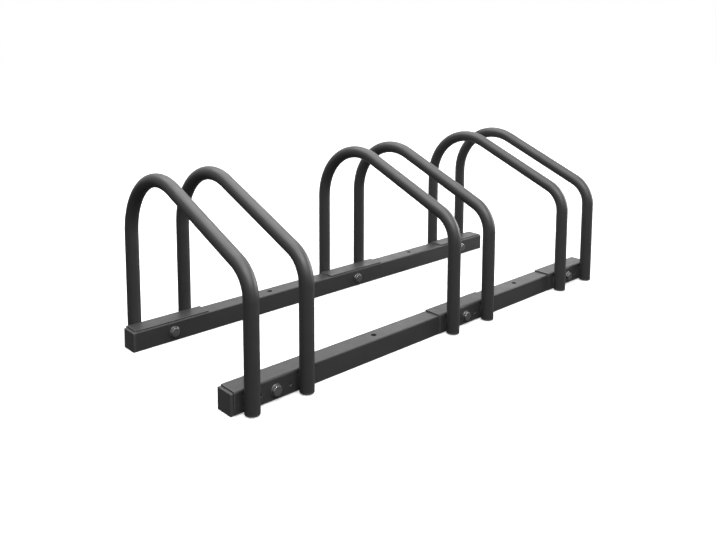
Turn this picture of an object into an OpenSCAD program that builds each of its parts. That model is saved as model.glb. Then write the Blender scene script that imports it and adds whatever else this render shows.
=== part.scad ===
// Floor rack for three bicycles.
// X runs along the rails, -Y is the front where the hoops are low, +Z is up.
// The origin is on the ground, under the centre of the whole rack. Sizes are in millimetres.

/* [Rails] */
// Outer width and height of the square rail tube
rail_w = 28; // [24:0.5:32]
// Wall of the rail tube
rail_wall = 1.5; // [1:0.1:2.5]
// Outer corner radius of the rail tube
rail_corner_r = 1.8; // [1.5:0.1:3]
// Distance between the centre lines of the two rails
rail_spacing = 236.5; // [180:0.5:320]
// From each end of the rack to the nearest hoop leg
end_margin = 22; // [20:0.5:60]

/* [Hoops] */
// Outer diameter of the hoop tube
tube_d = 19; // [15:0.5:22]
// Wall of the hoop tube
tube_wall = 1.2; // [1:0.1:2]
// Overall height of the rack
rack_h = 252.8; // [235:0.1:320]
// Rise of the sloping run, from the front up to the rear
slope_deg = 23; // [16:0.1:26]
// Bend radius at the front, on the tube's centre line
front_bend_r = 43; // [30:0.5:55]
// Bend radius at the rear, on the tube's centre line
rear_bend_r = 85.5; // [60:0.5:95]
// From one hoop to the other hoop of the same pair, between centre lines
pair_pitch = 80.5; // [72:0.5:95]
// From the first pair of hoops to the second
pitch_1_2 = 354; // [300:1:420]
// From the second pair of hoops to the third
pitch_2_3 = 279; // [240:1:360]
// Air under the foot of each hoop leg
foot_gap = 1.5; // [1:0.1:3]

/* [Brackets] */
// Sheet thickness of the brackets
plate_t = 2; // [1.5:0.1:3]
// Inner radius of the bracket's bend
plate_bend_r = 1.2; // [1:0.1:1.5]
// Length of the bracket past the centre line of each leg
bracket_overhang = 17.75; // [14:0.25:19]
// Strip of rail left bare beside the bracket's top flange
flange_setback = 1.5; // [1:0.1:4]
// Height of the bracket's lower edge above the ground
web_lift = 2; // [0.3:0.1:4]
// Diameter of the small holes in the bracket's web
vent_d = 5; // [3:0.1:6]
// Distance of the small holes from the bolt
vent_offset = 22; // [14:0.5:26]
// Length of each weld bead
weld_len = 18; // [10:0.5:22]
// Radius of the round face of each weld bead
weld_r = 2; // [1.5:0.1:2.4]
// Gap between a weld bead and the round of the leg
weld_gap = 0.03; // [0.02:0.01:0.1]

/* [Bolts] */
// Thread diameter of the bolts
bolt_d = 8; // [6:1:10]
// Bolt length under the head
bolt_len = 45; // [43:1:60]
// Width across the flats of bolt heads and nuts
hex_af = 12; // [11.5:0.5:14]
// Height of the bolt head
head_h = 4; // [3.5:0.1:6]
// Height of the lock nut
nut_h = 8; // [6.5:0.1:10]
// Height of the lock nut's round collar
collar_h = 1.5; // [1:0.1:2]
// Distance between the thread's grooves
thread_pitch = 1.25; // [1:0.25:1.5]
// Depth of the thread's grooves
thread_depth = 0.5; // [0.3:0.05:0.6]
// Length of the bolt's chamfered tip
bolt_tip = 1; // [0.6:0.1:1.5]
// Turn of the bolt heads about their own axis
hex_turn = 15; // [0:1:30]
// Outer diameter of the washers
washer_d = 15; // [14:0.5:18]
// Thickness of the washers
washer_t = 1.2; // [0.8:0.1:2]
// Extra diameter of the bolt holes and washer holes
hole_gap = 0.6; // [0.3:0.1:1.5]
// Radial gap between the bolt and the nut's bore
thread_gap = 0.1; // [0.05:0.05:0.2]

/* [Ground anchor holes] */
// Diameter of the four anchor holes
anchor_d = 8; // [5:0.5:10]
// From the rack's left end to the first anchor holes
anchor_start = 240; // [200:0.5:300]
// Distance along the rail between the anchor holes
anchor_pitch = 320; // [280:0.5:330]

/* [Caps and plugs] */
// Thickness of the rail cap's outer lip
cap_lip = 3.5; // [2:0.1:5]
// Edge radius of the cap's lip
cap_edge_r = 1.1; // [0.6:0.1:1.8]
// Depth of the cap's plug inside the rail
cap_depth = 16; // [10:1:30]
// Wall of the plugs inside the tubes
plug_wall = 1.6; // [1.2:0.1:2.5]
// Thickness of the foot plug's lip
foot_lip = 2.5; // [1.8:0.1:4]
// Edge radius of the foot plug's lip
foot_edge_r = 1.2; // [0.6:0.1:1.6]
// Depth of the foot plug inside the hoop tube
foot_depth = 14; // [10:1:25]
// Gap between a plug's ribs and the tube's wall
plug_gap = 0.15; // [0.1:0.05:0.3]
// How far the ribs stand out from the core of a plug
rib_h = 0.8; // [0.6:0.1:1.2]
// Thickness of each rib
rib_t = 1.2; // [0.8:0.1:1.6]
// Distance from one rib to the next
rib_pitch = 4.5; // [3.5:0.5:6]
// Distance from the lip to the first rib
rib_start = 1.5; // [1:0.1:3]

/* [Hidden] */
holders = [0, 1, 2];
sides = ["left", "right"];
rows = ["front", "rear"];
rail_caps = [for (row = rows) for (side = sides) [row, side]];
holder_rows = [for (i = holders) for (row = rows) [i, row]];
holder_sides = [for (i = holders) for (side = sides) [i, side]];
holder_feet = [for (hs = holder_sides) for (row = rows) [hs[0], hs[1], row]];

function rail_name(row) = str(row, "_rail");
function cap_name(c) = str("end_cap_", c[0], "_", c[1]);
function hoop_name(h) = str("hoop_", h[0] + 1, "_", h[1]);
function bracket_name(b) = str("bracket_", b[0] + 1, "_", b[1]);
function weld_name(i) = str("weld_beads_", i + 1);
function foot_name(f) = str("foot_plug_", f[0] + 1, "_", f[1], "_", f[2]);
function bolt_name(b) = str("hex_bolt_", b[0] + 1, "_", b[1]);
function nut_name(b) = str("lock_nut_", b[0] + 1, "_", b[1]);
function washer_name(i) = str("washers_", i + 1);

steel_colour = [0.21, 0.21, 0.22];
cap_colour = [0.13, 0.13, 0.13];
bolt_colour = [0.34, 0.34, 0.35];

// Places along the rack
rack_len = 2 * end_margin + pitch_1_2 + pitch_2_3 + pair_pitch;
left_end = -rack_len / 2;
rail_len = rack_len - 2 * cap_lip;
pair_starts = [0, pitch_1_2, pitch_1_2 + pitch_2_3];
anchor_xs = [for (i = [0, 1]) left_end + anchor_start + i * anchor_pitch];
function pair_x(i) = left_end + end_margin + pair_starts[i] + pair_pitch / 2;
function leg_x(i, side) = pair_x(i) + (side == "left" ? -1 : 1) * pair_pitch / 2;

// Places across the rack: row_sign is -1 at the front rail and +1 at the rear rail
function row_sign(row) = row == "front" ? -1 : 1;
tube_r = tube_d / 2;
rail_y = rail_spacing / 2;
rail_bore = rail_w - 2 * rail_wall;
rail_bore_r = max(rail_corner_r - rail_wall, rail_wall / 4);
web_y = rail_y + rail_w / 2 + plate_t;
leg_y = web_y + tube_r;
leg_span = 2 * leg_y;
bolt_z = rail_w / 2;

// The slope used is the one within a tenth of a degree of slope_deg whose sine and cosine lie
// closest to six decimals, so that each straight run of tube meets its bends exactly.
function six(v) = round(v * 1e6) / 1e6;
function misfit(a) = abs(six(cos(a)) * six(cos(a)) + six(sin(a)) * six(sin(a)) - 1);
near_slopes = [for (i = [-100 : 100]) slope_deg + i / 1000];
misfits = [for (a = near_slopes) misfit(a)];
slope = near_slopes[search(min(misfits), misfits)[0]];

// Bend set-backs and straight lengths of the hoop
front_turn = 90 - slope;
rear_turn = 90 + slope;
front_setback = front_bend_r * tan(front_turn / 2);
rear_setback = rear_bend_r * tan(rear_turn / 2);
rear_leg_top = rack_h - tube_r - rear_bend_r;
rear_corner_z = rear_leg_top + rear_setback;
front_corner_z = rear_corner_z - leg_span * tan(slope);
tube_end_z = foot_gap + foot_lip;
front_leg_len = front_corner_z - front_setback - tube_end_z;
rear_leg_len = rear_leg_top - tube_end_z;
slope_len = leg_span / cos(slope) - front_setback - rear_setback;

// Bolt stack: both rows have the same grip, and every head looks to the front
bolt_hole_d = bolt_d + hole_gap;
grip = rail_w + plate_t;
face_share = 0.95; // round face of a head or nut, as a part of its width across flats
collar_share = 0.86; // lock nut's collar, as a part of its width across flats
function grip_start(row) = row == "front" ? -web_y : rail_y - rail_w / 2;

$fn = 64;

module rounded_square(w, r) {
    square([w - 2 * r, w], center = true);
    square([w, w - 2 * r], center = true);
    for (x = [-1, 1], y = [-1, 1])
        translate([x, y] * (w / 2 - r)) circle(r);
}

// Profiles drawn in X and Y are run along the X axis, from x = 0
module along_x(len) {
    rotate([90, 0, 90]) linear_extrude(len) children();
}

module along_y(d, y0, y1) {
    translate([0, y0, 0]) rotate([-90, 0, 0]) cylinder(d = d, h = y1 - y0);
}

module rail(row) {
    y = row_sign(row) * rail_y;
    color(steel_colour) difference() {
        translate([left_end + cap_lip, y, rail_w / 2]) along_x(rail_len) difference() {
            rounded_square(rail_w, rail_corner_r);
            rounded_square(rail_bore, rail_bore_r);
        }
        for (x = anchor_xs)
            translate([x, y, -rail_w / 2]) cylinder(d = anchor_d, h = 2 * rail_w);
        for (i = holders)
            translate([pair_x(i), 0, bolt_z]) along_y(bolt_hole_d, y - rail_w, y + rail_w);
    }
}

// Cap drawn for the left end: the lip's outer face is at x = 0 and the plug points to +X
module cap_lip_block() {
    r = cap_edge_r;
    reach = cap_lip + rail_w;
    intersection() {
        along_x(cap_lip) rounded_square(rail_w, rail_corner_r);
        linear_extrude(2 * rail_w, center = true) cap_outline(reach, r);
        rotate([90, 0, 0]) linear_extrude(2 * rail_w, center = true) cap_outline(reach, r);
    }
}

module cap_outline(reach, r) {
    translate([r, -rail_w / 2]) square([reach, rail_w]);
    translate([0, r - rail_w / 2]) square([reach, rail_w - 2 * r]);
    for (y = [-1, 1])
        translate([r, y * (rail_w / 2 - r)]) circle(r);
}

module cap_plug() {
    rib_w = rail_bore - 2 * plug_gap;
    core_w = rib_w - 2 * rib_h;
    corner_r = rail_bore_r + plug_wall / 2;
    difference() {
        union() {
            along_x(cap_depth) rounded_square(core_w, corner_r);
            for (x = [rib_start : rib_pitch : cap_depth - rib_t])
                translate([x, 0, 0]) along_x(rib_t) rounded_square(rib_w, corner_r);
        }
        translate([-cap_depth, 0, 0]) along_x(3 * cap_depth)
            square(core_w - 2 * plug_wall, center = true);
    }
}

module end_cap(c) {
    turn = c[1] == "left" ? 0 : 180;
    x = c[1] == "left" ? left_end : -left_end;
    color(cap_colour)
        translate([x, row_sign(c[0]) * rail_y, rail_w / 2]) rotate([0, 0, turn]) {
            cap_lip_block();
            translate([cap_lip, 0, 0]) cap_plug();
        }
}

module tube_ring() {
    difference() {
        circle(tube_r);
        circle(tube_r - tube_wall);
    }
}

module tube_straight(len) {
    linear_extrude(len) tube_ring();
}

module past_straight(len) {
    translate([0, 0, len]) children();
}

// Bend that starts upwards at the origin and curls towards +Y: half a turn, cut off at its end
module tube_bend(r, turn) {
    reach = r + tube_d;
    translate([0, r, 0]) difference() {
        rotate([90, 0, -90]) rotate_extrude(angle = 180, $fn = 128) translate([r, 0]) tube_ring();
        rotate([-turn, 0, 0]) translate([-tube_d, -reach, 0]) cube([2 * tube_d, 2 * reach, reach]);
    }
}

module past_bend(r, turn) {
    translate([0, r, 0]) rotate([-turn, 0, 0]) translate([0, -r, 0]) children();
}

module hoop(h) {
    color(steel_colour) translate([leg_x(h[0], h[1]), -leg_y, tube_end_z]) {
        tube_straight(front_leg_len);
        past_straight(front_leg_len) {
            tube_bend(front_bend_r, front_turn);
            past_bend(front_bend_r, front_turn) {
                tube_straight(slope_len);
                past_straight(slope_len) {
                    tube_bend(rear_bend_r, rear_turn);
                    past_bend(rear_bend_r, rear_turn) tube_straight(rear_leg_len);
                }
            }
        }
    }
}

// Section of the rear bracket, in Y and Z: the web stands behind the rail, the flange lies on it
module bracket_section() {
    inner_y = rail_y - rail_w / 2 + flange_setback;
    outer_r = plate_bend_r + plate_t;
    bend_y = web_y - outer_r;
    bend_z = rail_w + plate_t - outer_r;
    translate([web_y - plate_t, web_lift]) square([plate_t, bend_z - web_lift]);
    translate([inner_y, rail_w]) square([bend_y - inner_y, plate_t]);
    translate([bend_y, bend_z]) intersection() {
        difference() {
            circle(outer_r);
            circle(plate_bend_r);
        }
        square(outer_r);
    }
}

module bracket(b) {
    len = pair_pitch + 2 * bracket_overhang;
    turn = b[1] == "front" ? 1 : 0;
    color(steel_colour) translate([pair_x(b[0]), 0, 0]) mirror([0, turn, 0]) difference() {
        translate([-len / 2, 0, 0]) along_x(len) bracket_section();
        translate([0, 0, bolt_z]) along_y(bolt_hole_d, web_y - 2 * plate_t, web_y + plate_t);
        for (x = [-1, 1])
            translate([x * vent_offset, 0, bolt_z])
                along_y(vent_d, web_y - 2 * plate_t, web_y + plate_t);
    }
}

// One bead in the corner between the web, which ends at y = 0, and a leg that touches it at x = 0.
// Its round face is centred between the two, and its ends are rounded off.
module weld_bead() {
    bead_x = 0.55 * tube_r;
    bead_y = 0.45 * weld_r;
    bead_top = bead_y + weld_r;
    end_r = 0.9 * weld_r;
    intersection() {
        translate([0, 0, -weld_len / 2]) linear_extrude(weld_len) difference() {
            translate([bead_x, bead_y]) circle(weld_r);
            translate([0, tube_r]) circle(tube_r + weld_gap);
            translate([0, -2 * weld_r]) square([2 * tube_d, 2 * weld_r]);
        }
        along_x(tube_d) {
            translate([-weld_r, end_r - weld_len / 2])
                square([weld_r + bead_top, weld_len - 2 * end_r]);
            for (z = [-1, 1])
                translate([0, z * (weld_len / 2 - end_r)]) scale([bead_top / end_r, 1]) circle(end_r);
        }
    }
}

module weld_beads(i) {
    color(steel_colour)
        for (row = [0, 1], side = sides, half = [0, 1])
            translate([leg_x(i, side), 0, bolt_z]) mirror([0, row, 0])
                translate([0, web_y, 0]) mirror([half, 0, 0]) weld_bead();
}

// Plug drawn as a turned section, with the tube's end at z = 0
module foot_plug(f) {
    bore_r = tube_r - tube_wall;
    rib_r = bore_r - plug_gap;
    core_r = rib_r - rib_h;
    bore_of_plug = core_r - plug_wall;
    e = foot_edge_r;
    place = [leg_x(f[0], f[1]), row_sign(f[2]) * leg_y, tube_end_z];
    color(cap_colour) translate(place) rotate_extrude() {
        translate([0, -foot_lip]) square([tube_r - e, foot_lip]);
        translate([0, e - foot_lip]) square([tube_r, foot_lip - e]);
        translate([tube_r - e, e - foot_lip]) circle(e);
        translate([bore_of_plug, 0]) square([plug_wall, foot_depth]);
        for (z = [rib_start : rib_pitch : foot_depth - rib_t])
            translate([bore_of_plug, z]) square([rib_r - bore_of_plug, rib_t]);
    }
}

// Hexagonal prism whose corners are turned off to a round face at the top, the bottom or both
module hex_block(h, top, bottom) {
    corner_r = hex_af / 2 / cos(30);
    face_r = hex_af / 2 * face_share;
    outer_r = corner_r + hex_af - 2 * face_r;
    slope_h = (outer_r - face_r) * tan(30);
    intersection() {
        cylinder(r = corner_r, h = h, $fn = 6);
        rotate_extrude() polygon([
            [0, 0], [bottom ? face_r : outer_r, 0], [outer_r, slope_h],
            [outer_r, h - slope_h], [top ? face_r : outer_r, h], [0, h]
        ]);
    }
}

// Bolt drawn along +Z, with the underside of its head at z = 0
module bolt_shape() {
    free_len = bolt_len - grip - 2 * washer_t - nut_h - bolt_tip;
    rings = floor(free_len / thread_pitch);
    groove_r = bolt_d / 2 - thread_depth;
    groove_w = (bolt_d - groove_r) * tan(30);
    mirror([0, 0, 1]) rotate([0, 0, hex_turn]) hex_block(head_h, true, false);
    difference() {
        union() {
            translate([0, 0, -head_h / 2]) cylinder(d = bolt_d, h = bolt_len - bolt_tip + head_h / 2);
            translate([0, 0, bolt_len - bolt_tip])
                cylinder(d1 = bolt_d, d2 = bolt_d - 2 * bolt_tip, h = bolt_tip);
        }
        for (i = [1 : 1 : rings])
            translate([0, 0, bolt_len - bolt_tip - (i - 0.5) * thread_pitch]) rotate_extrude()
                polygon([[groove_r, 0], [bolt_d, -groove_w], [bolt_d, groove_w]]);
    }
}

// Puts a part drawn along +Z on a bolt's axis, at a distance from the start of the grip
module on_bolt(b, shift) {
    translate([pair_x(b[0]), grip_start(b[1]) + shift, bolt_z]) rotate([-90, 0, 0]) children();
}

module hex_bolt(b) {
    color(bolt_colour) on_bolt(b, -washer_t) bolt_shape();
}

module lock_nut(b) {
    color(bolt_colour) on_bolt(b, grip + washer_t) difference() {
        union() {
            hex_block(nut_h - collar_h, true, true);
            cylinder(d = hex_af * collar_share, h = nut_h);
        }
        translate([0, 0, -nut_h]) cylinder(r = bolt_d / 2 + thread_gap, h = 3 * nut_h);
    }
}

module washer() {
    difference() {
        cylinder(d = washer_d, h = washer_t);
        translate([0, 0, -washer_t]) cylinder(d = bolt_hole_d, h = 3 * washer_t);
    }
}

module washers(i) {
    color(bolt_colour)
        for (row = rows, shift = [-washer_t, grip])
            on_bolt([i, row], shift) washer();
}

for (row = rows)
    rail(row);
for (c = rail_caps)
    end_cap(c);
for (h = holder_sides)
    hoop(h);
for (b = holder_rows)
    bracket(b);
for (i = holders)
    weld_beads(i);
for (f = holder_feet)
    foot_plug(f);
for (b = holder_rows)
    hex_bolt(b);
for (b = holder_rows)
    lock_nut(b);
for (i = holders)
    washers(i);
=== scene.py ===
import math

import bpy
from mathutils import Matrix, Vector

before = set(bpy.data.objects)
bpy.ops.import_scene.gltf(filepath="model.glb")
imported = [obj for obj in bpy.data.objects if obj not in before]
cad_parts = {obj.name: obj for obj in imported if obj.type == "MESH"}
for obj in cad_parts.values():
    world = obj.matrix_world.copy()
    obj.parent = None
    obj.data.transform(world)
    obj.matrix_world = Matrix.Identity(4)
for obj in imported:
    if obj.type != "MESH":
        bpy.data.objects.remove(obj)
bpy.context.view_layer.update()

# The photograph's camera, in the rack's frame
AZIMUTH = math.radians(-42.5)
ELEVATION = math.radians(6.92)
ROLL = math.radians(0.12)
CAMERA_AT = Vector((-0.8355, -0.8338, 0.4400))
LENS_MM = 38.52
SENSOR_MM = 36.0
SHIFT_X = 0.0086
SHIFT_Y = -0.2064
CLIP_START = 0.01
CLIP_END = 100

# Soft boxes aimed at the middle of the rack: name, place, width, height and watts
LAMP_TARGET = Vector((0.0, 0.0, 0.1))
SOFTBOXES = (
    ("overhead", (-0.25, 0.1, 1.6), 2.9, 2.0, 60),
    ("back", (1.6, 0.9, 1.05), 1.6, 1.0, 5),
    ("front", (-0.65, -1.7, 1.7), 2.0, 1.4, 38),
    ("right_rim", (2.8, -0.75, 0.75), 2.2, 1.3, 55),
)

# The white world, and its much lower strength as a light. Mirror rays see a share of it that grows
# from the dim side, where the photograph's edges are dark: DIM_SPAN is a ray's cosine with that side.
WORLD_WHITE = 1.0
WORLD_FILL = 0.05
DIM_SIDE = (-1.0, -0.04, 0.0)
DIM_SPAN = (0.7, -0.2)
WORLD_IN_MIRROR = (0.05, 1.0)

# The white floor, and its much darker tones for the light that it bounces. Its glow grows with the
# distance from the rack's middle, and the share that mirror rays see grows away from the camera.
FLOOR_HALF = 9.0
FLOOR_TONES = (0.80, 0.84)
FLOOR_UNSEEN_TONES = (0.036, 0.044)
GLOW_SPAN = (0.5, 1.6)
FLOOR_GLOW = (0.4, 1.0)
AWAY = (0.8, 0.6, 0.0)
AWAY_SPAN = (0.1, 0.9)
FLOOR_IN_MIRROR = (0.02, 0.45)

# Powder coat
COAT_COLOUR = (0.0355, 0.0355, 0.0358)
COAT_ROUGHNESS = (0.38, 0.47)
COAT_ROUNDING = 0.0004
PEEL_SHARE = 0.75

# Plastic of the end caps and foot plugs, with a painted highlight along its edges
PLASTIC_COLOUR = (0.058, 0.058, 0.059)
PLASTIC_EDGE_HIGHLIGHT = 0.13
PLASTIC_HIGHLIGHT_SHARE = 0.7
PLASTIC_ROUGHNESS = (0.45, 0.57)
PLASTIC_ROUNDING = 0.0003

# Plated steel of the fasteners. Worn edges are bright metal, and smoother by the polish.
STEEL_COLOUR = (0.125, 0.125, 0.128)
STEEL_WORN = (0.8, 0.8, 0.81)
STEEL_LEAST_WORN = 0.6
STEEL_METALLIC = (0.4, 1.0)
STEEL_ROUGHNESS = (0.26, 0.38)
STEEL_POLISH = 0.12
STEEL_ROUNDING = 0.0006

# Edge marks go from none to full over these cosines between the flat and the rounded normal, and
# their patches over these values of their noise. They are wear, and painted highlights along the
# edges of the bracket coat and the plastic.
EDGE_COSINES = (0.995, 0.80)
EDGE_PATCHES = (0.45, 0.75)
BEVEL_SAMPLES = 6

# Most of a noise lies between these values
NOISE_SPAN = (0.3, 0.7)


def grey(v):
    return (v, v, v, 1.0)


def shade(colour, share=1.0):
    """A colour, darker or lighter by a share, as a node wants it."""
    return tuple(share * c for c in colour) + (1.0,)


def aim(at, back, roll=0.0):
    """The matrix of a camera or lamp at a place, with its local +Z along back."""
    back = back.normalized()
    right = Vector((-back.y, back.x, 0)).normalized()
    up = back.cross(right)
    c, s = math.cos(roll), math.sin(roll)
    rolled_right = c * right + s * up
    rolled_up = c * up - s * right
    turn = Matrix((rolled_right, rolled_up, back)).transposed().to_4x4()
    return Matrix.Translation(at) @ turn


def add_camera():
    data = bpy.data.cameras.new("camera")
    data.lens = LENS_MM
    data.sensor_width = SENSOR_MM
    data.shift_x = SHIFT_X
    data.shift_y = SHIFT_Y
    data.clip_start = CLIP_START
    data.clip_end = CLIP_END
    level = math.cos(ELEVATION)
    back = Vector((math.sin(AZIMUTH) * level, -math.cos(AZIMUTH) * level, math.sin(ELEVATION)))
    camera = bpy.data.objects.new("camera", data)
    camera.matrix_world = aim(CAMERA_AT, back, ROLL)
    bpy.context.scene.collection.objects.link(camera)
    bpy.context.scene.camera = camera


class Nodes:
    """Short calls that build the node tree of a material or of the world."""

    def __init__(self, owner):
        owner.use_nodes = True
        self.tree = owner.node_tree
        self.tree.nodes.clear()

    def add(self, kind, inputs=None, **settings):
        """A new node. Each input is linked to a socket or set to a value."""
        node = self.tree.nodes.new(kind)
        for key, value in settings.items():
            setattr(node, key, value)
        for key, value in (inputs or {}).items():
            if isinstance(value, bpy.types.NodeSocket):
                self.tree.links.new(value, node.inputs[key])
            else:
                node.inputs[key].default_value = value
        return node

    def place(self):
        return self.add("ShaderNodeTexCoord").outputs["Object"]

    def noise(self, at, scale, detail=2.0, roughness=0.5):
        inputs = {"Vector": at, "Scale": scale, "Detail": detail, "Roughness": roughness}
        return self.add("ShaderNodeTexNoise", inputs).outputs["Fac"]

    def math(self, operation, a, b, clamp=False):
        node = self.add("ShaderNodeMath", {0: a, 1: b}, operation=operation, use_clamp=clamp)
        return node.outputs[0]

    def dot(self, a, b):
        node = self.add("ShaderNodeVectorMath", {0: a, 1: b}, operation="DOT_PRODUCT")
        return node.outputs["Value"]

    def length(self, a):
        return self.add("ShaderNodeVectorMath", {0: a}, operation="LENGTH").outputs["Value"]

    def remap(self, value, span, to):
        inputs = {"Value": value, "From Min": span[0], "From Max": span[1], "To Min": to[0], "To Max": to[1]}
        return self.add("ShaderNodeMapRange", inputs).outputs["Result"]

    def mix(self, factor, a, b):
        """Two colours mixed: a mix node has its colour inputs at 6 and 7 and its colour output at 2."""
        return self.add("ShaderNodeMix", {0: factor, 6: a, 7: b}, data_type="RGBA").outputs[2]

    def bump(self, height, strength, distance, normal):
        inputs = {"Height": height, "Strength": strength, "Distance": distance, "Normal": normal}
        return self.add("ShaderNodeBump", inputs).outputs["Normal"]

    def rounded(self, radius):
        """Normals that turn softly over sharp edges."""
        node = self.add("ShaderNodeBevel", {"Radius": radius}, samples=BEVEL_SAMPLES)
        return node.outputs["Normal"]

    def edge_marks(self, at, radius, scale, least=0.0):
        """0 on faces to 1 along sharp edges, broken up by noise down to the least share."""
        flat = self.add("ShaderNodeNewGeometry").outputs["Normal"]
        edge = self.remap(self.dot(self.rounded(radius), flat), EDGE_COSINES, (0.0, 1.0))
        patches = self.noise(at, scale, detail=4.0, roughness=0.6)
        return self.math("MULTIPLY", edge, self.remap(patches, EDGE_PATCHES, (least, 1.0)), clamp=True)

    def background(self, strength):
        return self.add("ShaderNodeBackground", {"Color": grey(1.0), "Strength": strength}).outputs[0]

    def diffuse(self, colour):
        return self.add("ShaderNodeBsdfDiffuse", {"Color": colour}).outputs[0]

    def principled(self, colour, roughness, normal, **others):
        inputs = {"Base Color": colour, "Roughness": roughness, "Normal": normal, **others}
        return self.add("ShaderNodeBsdfPrincipled", inputs).outputs["BSDF"]

    def finish(self, shader, output="ShaderNodeOutputMaterial"):
        self.add(output, {"Surface": shader})


def powder_coat(name, ripple=0.0, edge_share=0.35, least=0.0, edge_grey=0.16):
    """Satin powder coat: fine orange peel, slight tone drift, a little rubbed along edges.

    ripple adds the scales of a weld bead, in bands across the vertical. edge_share is how far an edge
    goes to edge_grey, least the share of every edge that does, and edge_grey the grey there: rubbed coat
    in the plain coats, and a painted highlight in the bracket coat.
    """
    material = bpy.data.materials.new(name)
    n = Nodes(material)
    at = n.place()
    drift = n.noise(at, scale=9.0, detail=3.0)
    gloss_drift = n.noise(at, scale=60.0, detail=3.0)
    peel = n.noise(at, scale=420.0)
    grain = n.noise(at, scale=1400.0, roughness=0.6)
    marked_edges = n.edge_marks(at, radius=0.0012, scale=160.0, least=least)
    colour = n.mix(drift, shade(COAT_COLOUR, 0.88), shade(COAT_COLOUR, 1.14))
    # Edges go lighter: rubbed coat in the plain coats, a painted highlight all round in the bracket coat.
    colour = n.mix(n.math("MULTIPLY", marked_edges, edge_share), colour, grey(edge_grey))
    roughness = n.remap(gloss_drift, NOISE_SPAN, COAT_ROUGHNESS)
    coarse = n.math("MULTIPLY", peel, PEEL_SHARE)
    fine = n.math("MULTIPLY", grain, 1.0 - PEEL_SHARE)
    normal = n.rounded(COAT_ROUNDING)
    if ripple:
        inputs = {"Vector": at, "Scale": 130.0, "Distortion": 1.5, "Detail": 1.0, "Detail Scale": 2.0}
        scales = n.add("ShaderNodeTexWave", inputs, bands_direction="Z").outputs["Fac"]
        normal = n.bump(scales, strength=ripple, distance=0.0008, normal=normal)
    normal = n.bump(n.math("ADD", coarse, fine), strength=0.05, distance=0.0006, normal=normal)
    n.finish(n.principled(colour, roughness, normal))
    return material


def plastic(name):
    """Moulded black plastic with a fine spark-eroded grain."""
    material = bpy.data.materials.new(name)
    n = Nodes(material)
    at = n.place()
    tone = n.noise(at, scale=40.0, detail=3.0)
    grain = n.noise(at, scale=2600.0, detail=1.0)
    marked_edges = n.edge_marks(at, radius=0.0008, scale=220.0)
    colour = n.mix(tone, shade(PLASTIC_COLOUR, 0.85), shade(PLASTIC_COLOUR, 1.2))
    # Lighter grey along the edges: a little rubbing, made strong as a painted highlight on the corners.
    colour = n.mix(n.math("MULTIPLY", marked_edges, PLASTIC_HIGHLIGHT_SHARE), colour, grey(PLASTIC_EDGE_HIGHLIGHT))
    roughness = n.remap(tone, NOISE_SPAN, PLASTIC_ROUGHNESS)
    normal = n.bump(grain, strength=0.08, distance=0.0003, normal=n.rounded(PLASTIC_ROUNDING))
    n.finish(n.principled(colour, roughness, normal, **{"Specular IOR Level": 0.45}))
    return material


def plated_steel(name):
    """Dark plated fastener steel, rubbed bright along its edges."""
    material = bpy.data.materials.new(name)
    n = Nodes(material)
    at = n.place()
    tone = n.noise(at, scale=180.0, detail=4.0, roughness=0.6)
    marks = n.noise(at, scale=900.0, roughness=0.7)
    marked_edges = n.edge_marks(at, radius=0.001, scale=500.0, least=STEEL_LEAST_WORN)
    colour = n.mix(tone, shade(STEEL_COLOUR, 0.75), shade(STEEL_COLOUR, 1.25))
    colour = n.mix(marked_edges, colour, shade(STEEL_WORN))
    metallic = n.remap(marked_edges, (0.0, STEEL_LEAST_WORN), STEEL_METALLIC)
    marked = n.remap(marks, NOISE_SPAN, STEEL_ROUGHNESS)
    roughness = n.math("SUBTRACT", marked, n.math("MULTIPLY", marked_edges, STEEL_POLISH))
    normal = n.bump(marks, strength=0.06, distance=0.0002, normal=n.rounded(STEEL_ROUNDING))
    n.finish(n.principled(colour, roughness, normal, Metallic=metallic))
    return material


def dress():
    """Gives every CAD node its material, by the start of its name."""
    coat = powder_coat("coat")
    steel = plated_steel("fastener_steel")
    by_prefix = {
        "front_rail": coat,
        "rear_rail": coat,
        "hoop_": coat,
        # The bracket coat's lighter edges and hole rims are a painted highlight.
        "bracket_": powder_coat("bracket_coat", edge_share=1.0, least=0.6, edge_grey=0.26),
        "weld_beads_": powder_coat("weld_coat", ripple=0.6),
        "end_cap_": plastic("cap_plastic"),
        "foot_plug_": plastic("plug_plastic"),
        "hex_bolt_": steel,
        "lock_nut_": steel,
        "washers_": steel,
    }
    for name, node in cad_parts.items():
        material = next(by_prefix[prefix] for prefix in by_prefix if name.startswith(prefix))
        slots = node.data.materials
        if not slots:
            slots.append(material)
        for i in range(len(slots)):
            slots[i] = material


def white_background(n, seen, unseen, in_mirror):
    """Mixes two shaders: seen for camera and clear rays, unseen for the light on the object.

    in_mirror is the share of seen that mirror rays get.
    """
    rays = n.add("ShaderNodeLightPath").outputs
    straight = n.math("MAXIMUM", rays["Is Camera Ray"], rays["Is Transmission Ray"])
    mirrored = n.math("MULTIPLY", rays["Is Glossy Ray"], in_mirror)
    share = n.math("MAXIMUM", straight, mirrored)
    return n.add("ShaderNodeMixShader", {0: share, 1: unseen, 2: seen}).outputs[0]


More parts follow.
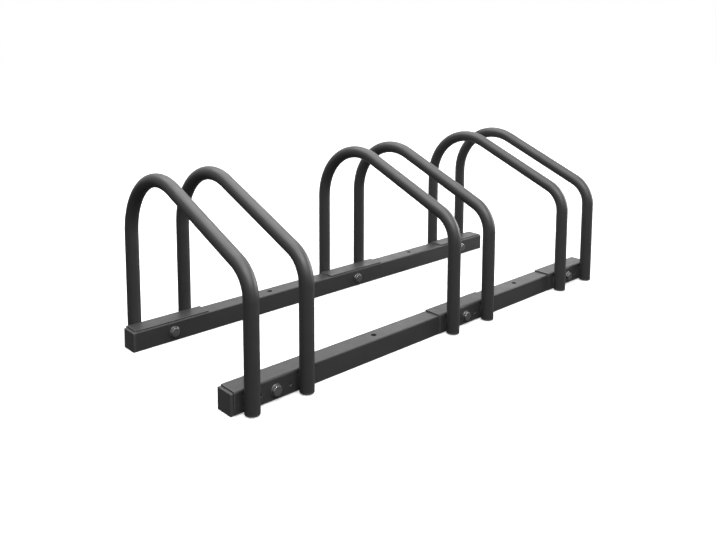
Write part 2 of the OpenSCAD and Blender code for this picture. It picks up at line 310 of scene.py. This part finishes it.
def add_world():
    world = bpy.data.worlds.new("world")
    n = Nodes(world)
    seen = n.background(WORLD_WHITE)
    unseen = n.background(WORLD_FILL)
    way = n.add("ShaderNodeTexCoord").outputs["Generated"]
    in_mirror = n.remap(n.dot(way, DIM_SIDE), DIM_SPAN, WORLD_IN_MIRROR)
    n.finish(white_background(n, seen, unseen, in_mirror), "ShaderNodeOutputWorld")
    bpy.context.scene.world = world


def floor_white():
    material = bpy.data.materials.new("floor_white")
    n = Nodes(material)
    at = n.place()
    matt = n.diffuse(n.mix(n.noise(at, scale=3.0), *map(grey, FLOOR_TONES)))
    strength = n.remap(n.length(at), GLOW_SPAN, FLOOR_GLOW)
    glow = n.add("ShaderNodeEmission", {"Color": grey(1.0), "Strength": strength}).outputs[0]
    seen = n.add("ShaderNodeAddShader", {0: matt, 1: glow}).outputs[0]
    unseen = n.diffuse(n.mix(n.noise(at, scale=5.0), *map(grey, FLOOR_UNSEEN_TONES)))
    in_mirror = n.remap(n.dot(at, AWAY), AWAY_SPAN, FLOOR_IN_MIRROR)
    n.finish(white_background(n, seen, unseen, in_mirror))
    return material


def add_floor():
    h = FLOOR_HALF
    mesh = bpy.data.meshes.new("floor")
    mesh.from_pydata([(-h, -h, 0), (h, -h, 0), (h, h, 0), (-h, h, 0)], [], [(0, 1, 2, 3)])
    mesh.materials.append(floor_white())
    floor = bpy.data.objects.new("floor", mesh)
    bpy.context.scene.collection.objects.link(floor)


def add_softbox(name, at, width, height, watts):
    """An area lamp that lights and is mirrored, but doesn't show to the camera itself."""
    data = bpy.data.lights.new(name, "AREA")
    data.shape = "RECTANGLE"
    data.size = width
    data.size_y = height
    data.energy = watts
    lamp = bpy.data.objects.new(name, data)
    lamp.visible_camera = False
    at = Vector(at)
    lamp.matrix_world = aim(at, at - LAMP_TARGET)
    bpy.context.scene.collection.objects.link(lamp)


dress()
add_world()
add_floor()
for softbox in SOFTBOXES:
    add_softbox(*softbox)
add_camera()
bpy.context.scene.view_settings.view_transform = "Standard"
